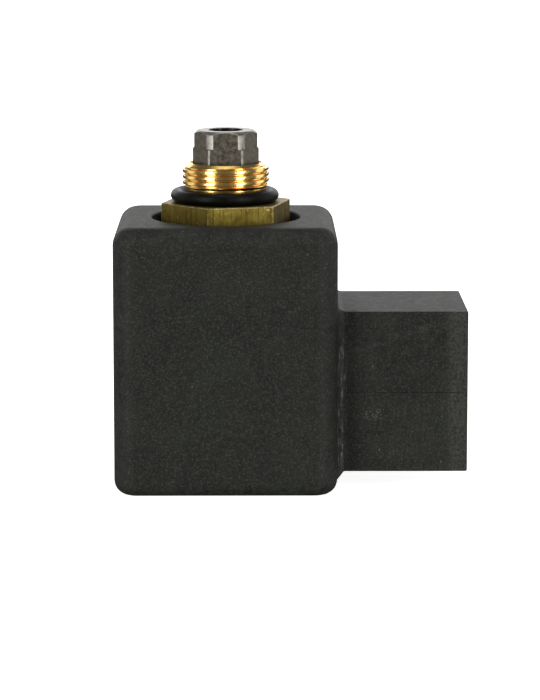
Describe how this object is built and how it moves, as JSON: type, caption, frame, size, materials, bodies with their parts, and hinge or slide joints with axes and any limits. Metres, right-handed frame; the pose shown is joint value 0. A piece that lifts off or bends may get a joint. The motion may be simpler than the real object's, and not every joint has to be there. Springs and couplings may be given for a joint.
{
  "type": "solenoid valve magnetic head",
  "caption": "Moulded solenoid coil with side connector socket, brass union with external thread and sealing ring, and sprung hexagonal plunger.",
  "frame": {"origin": "on the valve axis, where the union's external thread starts", "axes": "+Z along the valve axis out of the plunger end, +X towards the electrical connector"},
  "size_m": [0.0635, 0.038, 0.0641],
  "materials": {
    "moulding": "matt charcoal moulding with fine grain",
    "tinned_brass": "tinned, satin",
    "lead_insulation": "satin",
    "frame_steel": "zinc plated, satin",
    "spool_plastic": "natural nylon",
    "enamelled_copper": "enamelled copper wire",
    "tape": "polyester tape",
    "stainless": "drawn stainless steel",
    "magnetic_steel": "turned magnetic stainless steel",
    "copper": "bright copper",
    "brass": "turned brass, dull on the hexagon, bright on the thread",
    "seal_rubber": "glossy black rubber",
    "nut_steel": "zinc plated",
    "spring_steel": "spring wire"
  },
  "bodies": {
    "coil": {"coil_encapsulation": "moulding", "connector_housing_upper": "moulding", "connector_housing_lower": "moulding", "terminal_line": "tinned_brass", "terminal_neutral": "tinned_brass", "terminal_earth": "tinned_brass", "lead_start": "lead_insulation", "lead_finish": "lead_insulation", "yoke_frame": "frame_steel", "yoke_plate": "frame_steel", "flux_sleeve_lower": "frame_steel", "flux_sleeve_upper": "frame_steel", "bobbin": "spool_plastic", "winding": "enamelled_copper", "winding_tape": "tape"},
    "armature_tube": {"core_tube": "stainless", "fixed_core": "magnetic_steel", "shading_ring": "copper", "union_nut": "brass", "flange_seal": "seal_rubber", "tube_seal": "seal_rubber", "stud_seal": "seal_rubber", "retaining_nut": "nut_steel", "lock_washer": "nut_steel", "return_spring": "spring_steel"},
    "plunger": {"plunger": "magnetic_steel", "plunger_seal": "seal_rubber"}
  },
  "joints": [
    {"name": "coil_swivel", "type": "hinge", "parent": "coil", "child": "armature_tube", "pos_m": [0, 0, 0], "axis": [0, 0, 1], "continuous": true},
    {"name": "plunger_slide", "type": "slide", "parent": "armature_tube", "child": "plunger", "axis": [0, 0, -1], "range_m": [0, 0.00295], "stiffness_N_per_m": 400, "springref_m": -0.004, "deforming": ["return_spring"]}
  ]
}
